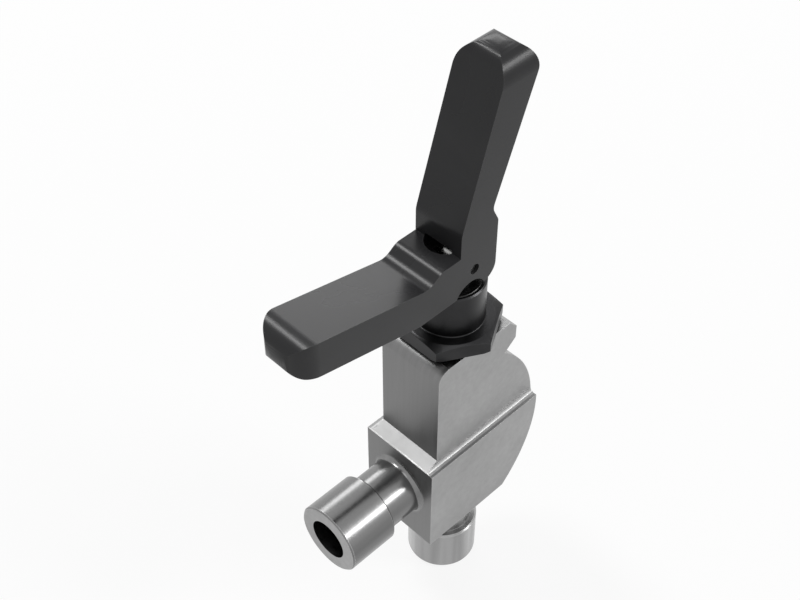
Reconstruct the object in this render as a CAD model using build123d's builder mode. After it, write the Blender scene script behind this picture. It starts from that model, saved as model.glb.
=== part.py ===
from build123d import *
from math import cos, radians, sin, sqrt, tan
import os

# Fuel toggle valve. Millimetres, +Z up along the stem.
# The origin is the centre of the lower pipe end's face. The side pipe end
# points to -X, and the handle swings about the Y direction.

# Pipe ends
port_reach = 30.2
port_head_radius = 6.85
port_head_length = 10.3
port_neck_radius = 5.6
port_bore_radius = 4.0
port_edge = 0.3
neck_fillet = 0.7

# Body, with heights above or below the side port's axis
lower_half_thickness = 8.35
upper_half_thickness = 6.9
lower_front = 12.2
upper_front = 9.55
body_drop = 11.5
body_rise = 33.3
ledge_low = 9.15
ledge_high = 10.55
ledge_fillet = 0.6
back_radius = 25.5
back_centre_x = -9.4
back_centre_rise = 7.1
boss_half_width = 10.0
boss_undercut_depth = 2.65
boss_side_drop = 4.8
boss_edge = 1.9
crown_fillet = 2.4

# Chamber, seat and bonnet bore in the body
seat_drop = 5.2
seat_lip_height = 1.0
seat_lip_radius = 3.2
orifice_radius = 2.3
orifice_length = 3.8
drill_angle = 118
chamber_radius = 4.7
side_bore_depth = 19.6
side_passage_radius = 2.6
bonnet_bore_radius = 5.5
bonnet_step_rise = 15.5
mouth_chamfer = 0.5

# Bonnet
bonnet_washer_thickness = 0.8
bonnet_washer_radius = 6.7
hex_across_flats = 16.7
hex_height = 3.0
hex_chamfer = 0.85
barrel_radius = 6.15
barrel_top_rise = 45.75
barrel_edge = 0.25
barrel_root_fillet = 0.6
thread_radius = 5.4
thread_relief_depth = 0.5
thread_relief_length = 1.6
nose_radius = 4.35
nose_length = 1.8
nose_gap = 0.2
gland_radius = 3.3
spring_room_radius = 4.2
spring_room_low_rise = 22.0
spring_room_high_rise = 41.0
bush_outer_radius = 3.3
bush_length = 2.5
dust_pocket_radius = 3.7
cam_washer_radius = 5.4
cam_washer_thickness = 0.9
cam_washer_gap = 0.12

# Stem and what it carries
stem_radius = 2.4
running_gap = 0.05
slide_gap = 0.1
ring_gap = 0.02
piston_shoulder_rise = 22.2
piston_length = 5.7
groove_length = 2.9
groove_radius = 2.2
groove_drop = 1.7
backup_thickness = 0.8
ring_side_gap = 0.05
neck_radius = 2.2
stem_head_radius = 3.6
stem_head_length = 4.2
stem_edge = 0.3
stud_radius = 1.0
tip_thickness = 2.0
tip_radius = 3.45
tip_washer_thickness = 0.4
tip_washer_radius = 1.9
tip_nut_thickness = 1.2
tip_nut_across_flats = 3.0
stud_end = 0.2
tongue_half_thickness = 1.9
tongue_root_drop = 5.75
tongue_crown_radius = 2.75

# Spring
spring_washer_thickness = 0.8
spring_wire_radius = 0.42
spring_mean_radius = 3.3
spring_turns = 8

# Handle: distances from the cross pin's axis to the hub's four faces
pin_rise = 50.6
pin_radius = 1.0
pin_recess = 0.6
pin_edge = 0.15
handle_half_width = 5.1
hub_foot = 4.45
hub_heel = 5.1
hub_top = 4.3
hub_crook = 3.45
cam_corner_radius = 3.0
left_flat_reach = 7.8
left_step_run = 2.95
right_flat_reach = 7.7
right_step_run = 3.6
foot_reach = 12.6
crook_wall_reach = 9.0
step_round = 1.2
step_hollow = 2.1
left_lift_angle = 12.5
right_lean_angle = 18.6
left_end_reach = 38.2
right_end_reach = 37.7
left_outer_offset = 0.15
right_outer_tip = 1.05
paddle_inner_tip = 6.9
bend_fillet = 5.0
crook_fillet = 0.4
paddle_corner_radius = 4.65
nose_outer_radius = 3.6
nose_inner_radius = 3.2
arch_radius = 3.6
arch_centre_x = -0.8
arch_height = 2.1
slot_gap = 0.1
slot_clear = 0.3
well_radius = 3.4
well_centre_x = -2.0
well_floor = 1.5
well_rise = 0.7
handle_swing = 59

# Heights in the part's own frame
port_z = port_reach
body_bottom = port_z - body_drop
body_top = port_z + body_rise
ledge_bottom = port_z + ledge_low
ledge_top = port_z + ledge_high
seat_z = port_z - seat_drop
chamber_floor = seat_z - seat_lip_height
bonnet_step = port_z + bonnet_step_rise
hex_bottom = body_top + bonnet_washer_thickness
hex_top = hex_bottom + hex_height
barrel_top = port_z + barrel_top_rise
pin_z = port_z + pin_rise
spring_room_low = port_z + spring_room_low_rise
spring_room_high = port_z + spring_room_high_rise
piston_shoulder = port_z + piston_shoulder_rise
groove_top = piston_shoulder - groove_drop
groove_bottom = groove_top - groove_length
cam_washer_bottom = barrel_top - cam_washer_thickness
bush_top = spring_room_high + bush_length


def ring(inner, outer, low, high):
    """A flat ring about the stem's axis, from one height to another."""
    with BuildPart() as piece:
        with BuildSketch(Plane.XY.offset(low)):
            Circle(outer)
            Circle(inner, mode=Mode.SUBTRACT)
        extrude(amount=high - low)
    return piece


def rounded_ring(inner, outer, low, high):
    """A moulded seal ring whose section is rounded on all four edges."""
    height = high - low
    width = outer - inner
    with BuildPart() as piece:
        with BuildSketch(Plane.XZ):
            with Locations(((inner + outer) / 2, (low + high) / 2)):
                RectangleRounded(width, height, 0.45 * min(width, height))
        revolve(axis=Axis.Z)
    return piece


def back_x(z):
    """Where the rounded back of the body stands at a height."""
    return back_centre_x + sqrt(back_radius**2 - (z - port_z - back_centre_rise) ** 2)


# Body
# The side outline is milled through the bar: flat front, filleted crown,
# a short boss with an undercut on the far side, and one large arc as the back.
boss_x = boss_half_width
notch_x = boss_x - boss_undercut_depth
notch_z = port_z + back_centre_rise + sqrt(back_radius**2 - (notch_x - back_centre_x) ** 2)
boss_low = body_top - boss_side_drop
back_mid = port_z + back_centre_rise
back_bottom_x = back_x(body_bottom)
side_step = lower_half_thickness - upper_half_thickness

with BuildPart() as body:
    with BuildSketch(Plane.XZ):
        with BuildLine():
            Line((-lower_front, body_bottom), (-lower_front, ledge_bottom))
            Line((-lower_front, ledge_bottom), (-upper_front, ledge_top))
            Line((-upper_front, ledge_top), (-upper_front, body_top))
            Line((-upper_front, body_top), (boss_x, body_top))
            Line((boss_x, body_top), (boss_x, boss_low))
            Line((boss_x, boss_low), (notch_x, notch_z))
            ThreePointArc(
                (notch_x, notch_z),
                (back_centre_x + back_radius, back_mid),
                (back_bottom_x, body_bottom),
            )
            Line((back_bottom_x, body_bottom), (-lower_front, body_bottom))
        make_face()
    extrude(amount=lower_half_thickness, both=True)

    # Both broad sides step in above the lower half, over a small fillet, while
    # the front steps in over a slope
    with BuildSketch(Plane.YZ) as section:
        with BuildLine():
            Polyline(
                (-lower_half_thickness, body_bottom),
                (lower_half_thickness, body_bottom),
                (lower_half_thickness, ledge_bottom),
                (upper_half_thickness, ledge_bottom),
                (upper_half_thickness, body_top),
                (-upper_half_thickness, body_top),
                (-upper_half_thickness, ledge_bottom),
                (-lower_half_thickness, ledge_bottom),
                close=True,
            )
        make_face()
        step_corners = section.vertices().filter_by(
            lambda corner: abs(abs(corner.X) - upper_half_thickness) < 0.001
            and abs(corner.Y - ledge_bottom) < 0.001
        )
        fillet(step_corners, radius=min(ledge_fillet, 0.8 * side_step))
    extrude(amount=back_radius, both=True, mode=Mode.INTERSECT)
    crown_edges = body.edges().filter_by(Axis.Y).group_by(Axis.Z)[-1]
    fillet(crown_edges.sort_by(Axis.X)[0], radius=crown_fillet)
    crown_edges = body.edges().filter_by(Axis.Y).group_by(Axis.Z)[-1]
    chamfer(crown_edges.sort_by(Axis.X)[-1], length=boss_edge)

    # Pipe ends: a plain head on a narrower neck, one below and one at the side
    for start, direction, face_at in (
        ((0, 0, 0), (0, 0, 1), body_bottom),
        ((-port_reach, 0, port_z), (1, 0, 0), port_reach - lower_front),
    ):
        with BuildSketch(Plane(origin=start, x_dir=(0, 1, 0), z_dir=direction)):
            Circle(port_head_radius)
        extrude(amount=port_head_length)
        with BuildSketch(Plane(origin=start, x_dir=(0, 1, 0), z_dir=direction)):
            Circle(port_neck_radius)
        extrude(amount=face_at + neck_fillet)
    head_rims = body.edges().filter_by(GeomType.CIRCLE).filter_by(
        lambda edge: abs(edge.radius - port_head_radius) < 0.001
    )
    chamfer(head_rims, length=port_edge)
    neck_roots = body.edges().filter_by(GeomType.CIRCLE).filter_by(
        lambda edge: abs(edge.radius - port_neck_radius) < 0.001
        and (abs(edge.center().Z - body_bottom) < 0.01 or abs(edge.center().X + lower_front) < 0.01)
    )
    fillet(neck_roots, radius=neck_fillet)

    # Flow way: inlet bore, cone, orifice, raised seat lip and chamber
    cone_height = (port_bore_radius - orifice_radius) / tan(radians(drill_angle / 2))
    orifice_low = seat_z - orifice_length
    with BuildSketch(Plane.XZ):
        with BuildLine():
            Polyline(
                (0, 0),
                (port_bore_radius, 0),
                (port_bore_radius, orifice_low - cone_height),
                (orifice_radius, orifice_low),
                (orifice_radius, seat_z),
                (seat_lip_radius, seat_z),
                (seat_lip_radius, chamber_floor),
                (chamber_radius, chamber_floor),
                (chamber_radius, bonnet_step),
                (bonnet_bore_radius, bonnet_step),
                (bonnet_bore_radius, body_top - mouth_chamfer),
                (bonnet_bore_radius + mouth_chamfer, body_top),
                (0, body_top),
                close=True,
            )
        make_face()
    revolve(axis=Axis.Z, mode=Mode.SUBTRACT)
    # Side bore, its drill cone and the narrower passage into the chamber
    side_cone = (port_bore_radius - side_passage_radius) / tan(radians(drill_angle / 2))
    side_bore_end = side_bore_depth - port_reach
    with BuildSketch(Plane.XZ):
        with BuildLine():
            Polyline(
                (-port_reach, port_z),
                (-port_reach, port_z + port_bore_radius),
                (side_bore_end, port_z + port_bore_radius),
                (side_bore_end + side_cone, port_z + side_passage_radius),
                (0, port_z + side_passage_radius),
                (0, port_z),
                close=True,
            )
        make_face()
    revolve(axis=Axis((0, 0, port_z), (1, 0, 0)), mode=Mode.SUBTRACT)
body.part.label = "body"

# Washer between the hexagon and the body
bonnet_washer = ring(bonnet_bore_radius, bonnet_washer_radius, body_top, hex_bottom)
bonnet_washer.part.label = "bonnet_washer"

# Bonnet: turned from hexagon bar, with the gland bore, the spring's room,
# the bush's seat, the wiper's pocket and the wear washer's recess inside.
nose_bottom = bonnet_step + nose_gap
thread_bottom = nose_bottom + nose_length
hex_corner_radius = hex_across_flats / sqrt(3)
with BuildPart() as bonnet:
    with BuildSketch(Plane.XY.offset(hex_bottom)):
        RegularPolygon(hex_across_flats / 2, 6, major_radius=False, rotation=30)
    extrude(amount=hex_height)
    with BuildSketch(Plane.XZ):
        with BuildLine():
            Polyline(
                (hex_corner_radius - hex_chamfer * 2, hex_top),
                (hex_corner_radius, hex_top - hex_chamfer),
                (hex_corner_radius, hex_top),
                close=True,
            )
        make_face()
    revolve(axis=Axis.Z, mode=Mode.SUBTRACT)
    with BuildSketch(Plane.XZ):
        with BuildLine():
            Polyline(
                (0, nose_bottom),
                (nose_radius, nose_bottom),
                (nose_radius, thread_bottom),
                (thread_radius, thread_bottom),
                (thread_radius, body_top - thread_relief_length),
                (thread_radius - thread_relief_depth, body_top - thread_relief_length),
                (thread_radius - thread_relief_depth, hex_bottom),
                (barrel_radius, hex_bottom),
                (barrel_radius, barrel_top - barrel_edge),
                (barrel_radius - barrel_edge, barrel_top),
                (0, barrel_top),
                close=True,
            )
        make_face()
    revolve(axis=Axis.Z)
    barrel_roots = bonnet.edges().filter_by(GeomType.CIRCLE).filter_by(
        lambda edge: abs(edge.radius - barrel_radius) < 0.001 and abs(edge.center().Z - hex_top) < 0.01
    )
    fillet(barrel_roots, radius=barrel_root_fillet)
    with BuildSketch(Plane.XZ):
        with BuildLine():
            Polyline(
                (0, nose_bottom),
                (gland_radius, nose_bottom),
                (gland_radius, spring_room_low),
                (spring_room_radius, spring_room_low),
                (spring_room_radius, spring_room_high),
                (bush_outer_radius, spring_room_high),
                (bush_outer_radius, bush_top),
                (dust_pocket_radius, bush_top),
                (dust_pocket_radius, cam_washer_bottom),
                (cam_washer_radius + cam_washer_gap, cam_washer_bottom),
                (cam_washer_radius + cam_washer_gap, barrel_top),
                (0, barrel_top),
                close=True,
            )
        make_face()
    revolve(axis=Axis.Z, mode=Mode.SUBTRACT)
bonnet.part.label = "bonnet"

# Seals, bush and washers of the bonnet
bonnet_o_ring = rounded_ring(
    nose_radius, bonnet_bore_radius, nose_bottom, thread_bottom - ring_side_gap
)
bonnet_o_ring.part.label = "bonnet_o_ring"

stem_bush = ring(stem_radius + running_gap, bush_outer_radius, spring_room_high, bush_top)
stem_bush.part.label = "stem_bush"

dust_ring = rounded_ring(stem_radius + ring_gap, dust_pocket_radius - ring_gap, bush_top, cam_washer_bottom)
dust_ring.part.label = "dust_ring"

cam_washer = ring(stem_radius + slide_gap, cam_washer_radius, cam_washer_bottom, barrel_top)
cam_washer.part.label = "cam_washer"

# Spring between its two washers. The lower washer sits on the piston's
# shoulder and rises with the stem; the upper one bears on the bonnet.
lower_washer_top = piston_shoulder + spring_washer_thickness
upper_washer_bottom = spring_room_high - spring_washer_thickness
spring_lower_washer = ring(
    stem_radius + running_gap, spring_room_radius - slide_gap, piston_shoulder, lower_washer_top
)
spring_lower_washer.part.label = "spring_lower_washer"

spring_upper_washer = ring(
    stem_radius + slide_gap, spring_room_radius - running_gap, upper_washer_bottom, spring_room_high
)
spring_upper_washer.part.label = "spring_upper_washer"

coil_bottom = lower_washer_top + spring_wire_radius
coil_top = upper_washer_bottom - spring_wire_radius
spring_pitch = (coil_top - coil_bottom) / spring_turns
with BuildPart() as stem_spring:
    with BuildLine() as coil:
        Helix(
            pitch=spring_pitch,
            height=coil_top - coil_bottom,
            radius=spring_mean_radius,
            center=(0, 0, coil_bottom),
        )
    with BuildSketch(Plane(origin=coil.line @ 0, z_dir=coil.line % 0)):
        Circle(spring_wire_radius)
    sweep(is_frenet=True)
stem_spring.part.label = "stem_spring"

# Stem: head with the stud for the soft disc, slim neck, grooved piston,
# long shank and a flat tongue with a rounded crown round the cross pin.
tip_top = seat_z + tip_thickness
head_top = tip_top + stem_head_length
piston_bottom = piston_shoulder - piston_length
stud_bottom = seat_z - tip_washer_thickness - tip_nut_thickness - stud_end
tongue_root = pin_z - tongue_root_drop
stem_top = pin_z + tongue_crown_radius
with BuildPart() as stem:
    with BuildSketch(Plane.XZ):
        with BuildLine():
            Polyline(
                (0, stud_bottom),
                (stud_radius, stud_bottom),
                (stud_radius, tip_top),
                (stem_head_radius, tip_top),
                (stem_head_radius, head_top),
                (neck_radius, head_top),
                (neck_radius, piston_bottom),
                (gland_radius - slide_gap, piston_bottom),
                (gland_radius - slide_gap, groove_bottom),
                (groove_radius, groove_bottom),
                (groove_radius, groove_top),
                (gland_radius - slide_gap, groove_top),
                (gland_radius - slide_gap, piston_shoulder),
                (stem_radius, piston_shoulder),
                (stem_radius, stem_top),
                (0, stem_top),
                close=True,
            )
        make_face()
    revolve(axis=Axis.Z)
    head_edges = stem.edges().filter_by(GeomType.CIRCLE).filter_by(
        lambda edge: abs(edge.radius - stem_head_radius) < 0.001
    )
    chamfer(head_edges.sort_by(Axis.Z)[-1], length=stem_edge)
    # The tongue's crown is an arc about the pin
    with BuildSketch(Plane.XZ) as crown_cut:
        with Locations((0, pin_z + tongue_crown_radius)):
            Rectangle(2 * tongue_crown_radius, 2 * tongue_crown_radius)
        with Locations((0, pin_z)):
            Circle(tongue_crown_radius, mode=Mode.SUBTRACT)
    extrude(amount=stem_radius, both=True, mode=Mode.SUBTRACT)
    # Two flats make the tongue
    for side in (-1, 1):
        with BuildSketch(Plane.XY.offset(tongue_root)):
            with Locations((0, side * (tongue_half_thickness + stem_radius / 2))):
                Rectangle(2 * stem_radius, stem_radius)
        extrude(amount=stem_top - tongue_root, mode=Mode.SUBTRACT)
    with BuildSketch(Plane.XZ):
        with Locations((0, pin_z)):
            Circle(pin_radius + running_gap)
    extrude(amount=stem_radius, both=True, mode=Mode.SUBTRACT)
stem.part.label = "stem"

# Seal rings in the piston's groove
lower_backup_top = groove_bottom + ring_side_gap + backup_thickness
upper_backup_bottom = groove_top - ring_side_gap - backup_thickness
backup_ring_lower = ring(
    groove_radius, gland_radius - ring_gap, groove_bottom + ring_side_gap, lower_backup_top
)
backup_ring_lower.part.label = "backup_ring_lower"

backup_ring_upper = ring(
    groove_radius, gland_radius - ring_gap, upper_backup_bottom, groove_top - ring_side_gap
)
backup_ring_upper.part.label = "backup_ring_upper"

stem_o_ring = rounded_ring(groove_radius, gland_radius - ring_gap, lower_backup_top, upper_backup_bottom)
stem_o_ring.part.label = "stem_o_ring"

# Soft disc, its washer and its nut on the stud
stem_tip = ring(stud_radius, tip_radius, seat_z, tip_top)
stem_tip.part.label = "stem_tip"

tip_washer = ring(stud_radius, tip_washer_radius, seat_z - tip_washer_thickness, seat_z)
tip_washer.part.label = "tip_washer"

nut_top = seat_z - tip_washer_thickness
with BuildPart() as tip_nut:
    with BuildSketch(Plane.XY.offset(nut_top - tip_nut_thickness)):
        RegularPolygon(tip_nut_across_flats / 2, 6, major_radius=False)
        Circle(stud_radius, mode=Mode.SUBTRACT)
    extrude(amount=tip_nut_thickness)
tip_nut.part.label = "tip_nut"


# Handle
# The side outline holds the hub and both paddles: a flat foot on the wear
# washer, a rounded cam corner, a heel face, and a paddle at each end of the V.
def along(angle, run, offset):
    """A point beside the pin: run along a paddle, offset square to it."""
    direction = radians(angle)
    x = run * cos(direction) - offset * sin(direction)
    z = run * sin(direction) + offset * cos(direction)
    return (x, pin_z + z)


left_angle = 180 - left_lift_angle
right_angle = 90 - right_lean_angle


def end_corner(angle, lean, reach, offset):
    """A corner of a paddle's end face, which stands upright on the left and level on the right."""
    run = (reach - offset * sin(radians(lean))) / cos(radians(lean))
    return along(angle, run, offset)


# The left paddle's upper face and the right paddle's far face are the outer
# faces, near the pin's own line. The other two face the foot and the crook.
left_outer = end_corner(left_angle, left_lift_angle, left_end_reach, -left_outer_offset)
left_inner = end_corner(left_angle, left_lift_angle, left_end_reach, paddle_inner_tip)
right_outer = end_corner(right_angle, right_lean_angle, right_end_reach, -right_outer_tip)
right_inner = end_corner(right_angle, right_lean_angle, right_end_reach, paddle_inner_tip)
left_step_end = left_flat_reach + left_step_run
right_step_end = right_flat_reach + right_step_run
left_flat_end = (-left_flat_reach, pin_z + hub_top)
right_flat_end = (hub_heel, pin_z + right_flat_reach)
left_step = along(left_angle, left_step_end, -left_outer_offset)
right_step = along(right_angle, right_step_end, 0)
left_bend = (-foot_reach, pin_z - hub_foot)
right_bend = (-hub_crook, pin_z + crook_wall_reach)

with BuildPart() as handle:
    with BuildSketch(Plane.XZ) as outline:
        with BuildLine():
            Polyline(
                (-hub_crook, pin_z + hub_top),
                left_flat_end,
                left_step,
                left_outer,
                left_inner,
                left_bend,
                (hub_heel, pin_z - hub_foot),
                right_flat_end,
                right_step,
                right_outer,
                right_inner,
                right_bend,
                close=True,
            )
        make_face()
    extrude(amount=handle_half_width, both=True)

    def cross_edges(points):
        """The edges across the handle that start at the given side points."""
        chosen = []
        for edge in handle.edges().filter_by(Axis.Y):
            middle = edge.center()
            for x, z in points:
                if abs(middle.X - x) < 0.01 and abs(middle.Z - z) < 0.01:
                    chosen.append(edge)
        return chosen

    # Side view: each end face turns into both paddle faces over a large round
    for lean, outer, inner, outer_offset in (
        (left_lift_angle, left_outer, left_inner, left_outer_offset),
        (right_lean_angle, right_outer, right_inner, right_outer_tip),
    ):
        end_span = (outer_offset + paddle_inner_tip) / cos(radians(lean))
        outer_room = 0.63 * end_span / tan(radians(45 + lean / 2))
        inner_room = 0.36 * end_span / tan(radians(45 - lean / 2))
        fillet(cross_edges([outer]), radius=min(nose_outer_radius, outer_room))
        fillet(cross_edges([inner]), radius=min(nose_inner_radius, inner_room))

    # The cam corner, the bends, the steps and the crook
    fillet(cross_edges([(hub_heel, pin_z - hub_foot)]), radius=cam_corner_radius)
    fillet(cross_edges([left_bend, right_bend]), radius=bend_fillet)
    fillet(cross_edges([left_flat_end, right_flat_end]), radius=step_round)
    fillet(cross_edges([left_step, right_step]), radius=step_hollow)
    fillet(cross_edges([(-hub_crook, pin_z + hub_top)]), radius=crook_fillet)

    # Broad corners on both ends: the left one seen from above, the right one
    # seen along the pipe, mitred with the rounds of the side view
    corner_radius = min(paddle_corner_radius, handle_half_width)
    corner_side = handle_half_width - corner_radius
    left_end = Plane(origin=(0, 0, pin_z), x_dir=(-1, 0, 0), z_dir=(0, 0, 1))
    right_end = Plane(origin=(0, 0, pin_z), x_dir=(0, 0, 1), z_dir=(1, 0, 0))
    for end_plane, reach in ((left_end, left_end_reach), (right_end, right_end_reach)):
        with BuildSketch(end_plane):
            with Locations((reach - corner_radius, 0)):
                Rectangle(2 * corner_radius, 3 * handle_half_width, align=(Align.MIN, Align.CENTER))
                Rectangle(
                    corner_radius, 2 * corner_side, align=(Align.MIN, Align.CENTER), mode=Mode.SUBTRACT
                )
            with Locations(
                (reach - corner_radius, corner_side), (reach - corner_radius, -corner_side)
            ):
                Circle(corner_radius, mode=Mode.SUBTRACT)
        extrude(amount=reach / 2, both=True, mode=Mode.SUBTRACT)

    # Slot between the cheeks, wide enough for the tongue over the whole swing
    slot_half = stem_radius + slot_clear
    slot_run = 2 * hub_heel
    swing = radians(handle_swing)
    with BuildSketch(Plane.XZ):
        with Locations((0, pin_z)):
            Circle(tongue_crown_radius + slot_clear)
            Rectangle(2 * slot_half, slot_run, align=(Align.CENTER, Align.MAX))
            Rectangle(
                2 * slot_half, slot_run, rotation=handle_swing, align=(Align.CENTER, Align.MAX)
            )
            Polygon(
                (0, 0),
                (0, -slot_run),
                (slot_run * sin(swing / 2), -slot_run * cos(swing / 2)),
                (slot_run * sin(swing), -slot_run * cos(swing)),
                align=None,
            )
    extrude(amount=tongue_half_thickness + slot_gap, both=True, mode=Mode.SUBTRACT)

    # Relief arch across the foot, and the hole for the cross pin
    with BuildSketch(Plane.XZ):
        with Locations((arch_centre_x, pin_z - hub_foot + arch_height - arch_radius)):
            Circle(arch_radius)
        with Locations((0, pin_z)):
            Circle(pin_radius)
    extrude(amount=handle_half_width, both=True, mode=Mode.SUBTRACT)

    # Round well in the crook, down to the slot and a little into the right paddle
    with BuildSketch(Plane.XY.offset(pin_z + well_floor)):
        with Locations((well_centre_x, 0)):
            Circle(well_radius)
    extrude(amount=hub_top + well_rise - well_floor, mode=Mode.SUBTRACT)
handle.part.label = "handle"

# Cross pin, pressed into both cheeks and free to turn in the stem's tongue
pin_half_length = handle_half_width - pin_recess
with BuildPart() as handle_pin:
    with BuildSketch(Plane.XZ):
        with Locations((0, pin_z)):
            Circle(pin_radius)
    extrude(amount=pin_half_length, both=True)
    chamfer(handle_pin.edges().filter_by(GeomType.CIRCLE), length=pin_edge)
handle_pin.part.label = "handle_pin"

# Files, one for each piece
os.makedirs("parts", exist_ok=True)
pieces = (
    body,
    bonnet,
    bonnet_washer,
    bonnet_o_ring,
    stem_bush,
    dust_ring,
    cam_washer,
    spring_upper_washer,
    spring_lower_washer,
    stem_spring,
    stem,
    stem_tip,
    tip_washer,
    tip_nut,
    stem_o_ring,
    backup_ring_lower,
    backup_ring_upper,
    handle,
    handle_pin,
)
for piece in pieces:
    export_step(piece.part, f"parts/{piece.part.label}.step")
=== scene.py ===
import math

import bmesh
import bpy
from mathutils import Matrix, Vector


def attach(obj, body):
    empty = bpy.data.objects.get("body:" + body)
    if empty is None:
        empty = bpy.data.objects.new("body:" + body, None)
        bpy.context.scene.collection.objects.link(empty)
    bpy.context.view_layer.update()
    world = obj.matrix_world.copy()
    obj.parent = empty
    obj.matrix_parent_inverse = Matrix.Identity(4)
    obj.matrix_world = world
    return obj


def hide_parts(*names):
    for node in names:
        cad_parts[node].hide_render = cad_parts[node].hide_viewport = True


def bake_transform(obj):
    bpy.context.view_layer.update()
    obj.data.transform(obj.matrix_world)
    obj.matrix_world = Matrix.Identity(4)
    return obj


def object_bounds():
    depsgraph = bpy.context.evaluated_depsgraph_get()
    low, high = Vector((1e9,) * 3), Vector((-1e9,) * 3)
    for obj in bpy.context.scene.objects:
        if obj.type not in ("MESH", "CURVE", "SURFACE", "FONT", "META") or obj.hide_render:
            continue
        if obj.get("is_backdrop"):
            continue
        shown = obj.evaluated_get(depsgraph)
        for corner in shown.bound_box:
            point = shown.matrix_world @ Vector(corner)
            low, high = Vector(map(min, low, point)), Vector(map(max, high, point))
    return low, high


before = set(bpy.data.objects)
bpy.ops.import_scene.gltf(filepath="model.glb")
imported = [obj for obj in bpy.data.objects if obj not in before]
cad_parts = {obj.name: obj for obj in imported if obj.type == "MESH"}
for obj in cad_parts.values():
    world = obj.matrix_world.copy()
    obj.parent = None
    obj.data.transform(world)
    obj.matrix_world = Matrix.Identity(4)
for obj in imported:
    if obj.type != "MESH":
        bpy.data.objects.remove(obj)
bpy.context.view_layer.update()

# Body
# Angle valve body in stainless steel, milled from bar: a thick lower half, a
# sloping ledge, a thinner upper half and one large arc as its back. The two
# round pipe ends are turned on it, and a blasted satin finish is left between.
MM = 0.001

port_height = 30.2
port_head, head_length, head_edge = 6.85, 10.3, 0.3
port_neck, neck_fillet, weld_depth = 5.6, 1.0, 1.2
port_bore, lower_bore_end, side_bore_end = 4.0, 20.18, 19.6
orifice, orifice_low = 2.3, 21.2
side_passage, side_passage_start = 2.6, 20.44
seat_lip, lip_low, seat_height = 3.2, 24.0, 25.0
chamber = 4.7
bonnet_bore, bonnet_bore_low, bore_mouth = 5.5, 45.7, 0.5
run_out = 1.0
lower_front, upper_front = -12.2, -9.55
lower_half, upper_half = 8.35, 6.9
block_low, block_high = 18.7, 63.5
ledge_low, ledge_high = 39.35, 40.75
step_low, side_fillet = ledge_low - 0.015, 0.9
back_x, back_z, back_r = -9.4, 37.3, 25.5
crown_r = 2.4
boss_x, boss_low, boss_edge = 10.0, 58.7, 1.9
notch_x = 7.35
notch_z = back_z + math.sqrt(back_r**2 - (notch_x - back_x) ** 2)


def arc(x, z, radius, start, end, steps):
    """Points round a centre, from one bearing in degrees to another."""
    points = []
    for k in range(steps + 1):
        turn = math.radians(start + (end - start) * k / steps)
        points.append((x + radius * math.cos(turn), z + radius * math.sin(turn)))
    return points


def closed_mesh(work, name):
    """Ends the work on a closed solid: its faces are turned outwards and it becomes a mesh."""
    bmesh.ops.recalc_face_normals(work, faces=work.faces)
    mesh = bpy.data.meshes.new(name)
    work.to_mesh(mesh)
    work.free()
    return mesh


def lofted(rings):
    """Work on a closed solid through rings of (x, y, z) points in mm, each with the same count."""
    work = bmesh.new()
    rows = []
    for ring in rings:
        rows.append([work.verts.new([value * MM for value in point]) for point in ring])
    count = len(rows[0])
    for lower, upper in zip(rows, rows[1:]):
        for i in range(count):
            j = (i + 1) % count
            work.faces.new((lower[i], lower[j], upper[j], upper[i]))
    work.faces.new(list(reversed(rows[0])))
    work.faces.new(rows[-1])
    return work


def turned(profile, steps=96, axis="Z", at=(0, 0, 0)):
    """A turned solid: (radius, height) points in mm, swept round an axis through a point."""
    work = bmesh.new()
    columns = []
    for k in range(steps):
        turn = 2 * math.pi * k / steps
        columns.append((math.cos(turn), math.sin(turn)))
    rings = []
    for radius, height in profile:
        if radius < 1e-6:
            rings.append([work.verts.new((0, 0, height * MM))])
        else:
            rings.append(
                [work.verts.new((radius * c * MM, radius * s * MM, height * MM)) for c, s in columns]
            )
    count = len(rings)
    for i in range(count):
        lower, upper = rings[i], rings[(i + 1) % count]
        if len(lower) == 1 and len(upper) == 1:
            continue
        for k in range(steps):
            m = (k + 1) % steps
            if len(lower) == 1:
                work.faces.new((lower[0], upper[m], upper[k]))
            elif len(upper) == 1:
                work.faces.new((lower[k], lower[m], upper[0]))
            else:
                work.faces.new((lower[k], lower[m], upper[m], upper[k]))
    if axis == "X":
        work.transform(Matrix.Rotation(math.radians(90), 4, "Y"))
    if axis == "Y":
        work.transform(Matrix.Rotation(math.radians(-90), 4, "X"))
    work.transform(Matrix.Translation(Vector(at) * MM))
    return closed_mesh(work, "turned")


def placed(name, data):
    """Puts a mesh, a lamp or a camera in the scene under a name, at the origin."""
    piece = bpy.data.objects.new(name, data)
    bpy.context.scene.collection.objects.link(piece)
    return piece


def settled(piece):
    """Turns a piece's modifiers into plain mesh and takes them off."""
    graph = bpy.context.evaluated_depsgraph_get()
    mesh = bpy.data.meshes.new_from_object(
        piece.evaluated_get(graph), preserve_all_data_layers=True, depsgraph=graph
    )
    mesh.name = piece.name
    piece.modifiers.clear()
    piece.data = mesh
    return piece


def machined(piece, welds=(), cuts=(), keeps=()):
    """Welds other solids to a piece, cuts others out of it, and keeps what lies inside the rest."""
    for mode, meshes in (("UNION", welds), ("DIFFERENCE", cuts), ("INTERSECT", keeps)):
        for mesh in meshes:
            tool = placed("tool", mesh)
            step = piece.modifiers.new("step", "BOOLEAN")
            step.operation = mode
            step.solver = "EXACT"
            step.object = tool
            settled(piece)
            bpy.data.objects.remove(tool)
    return piece


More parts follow.
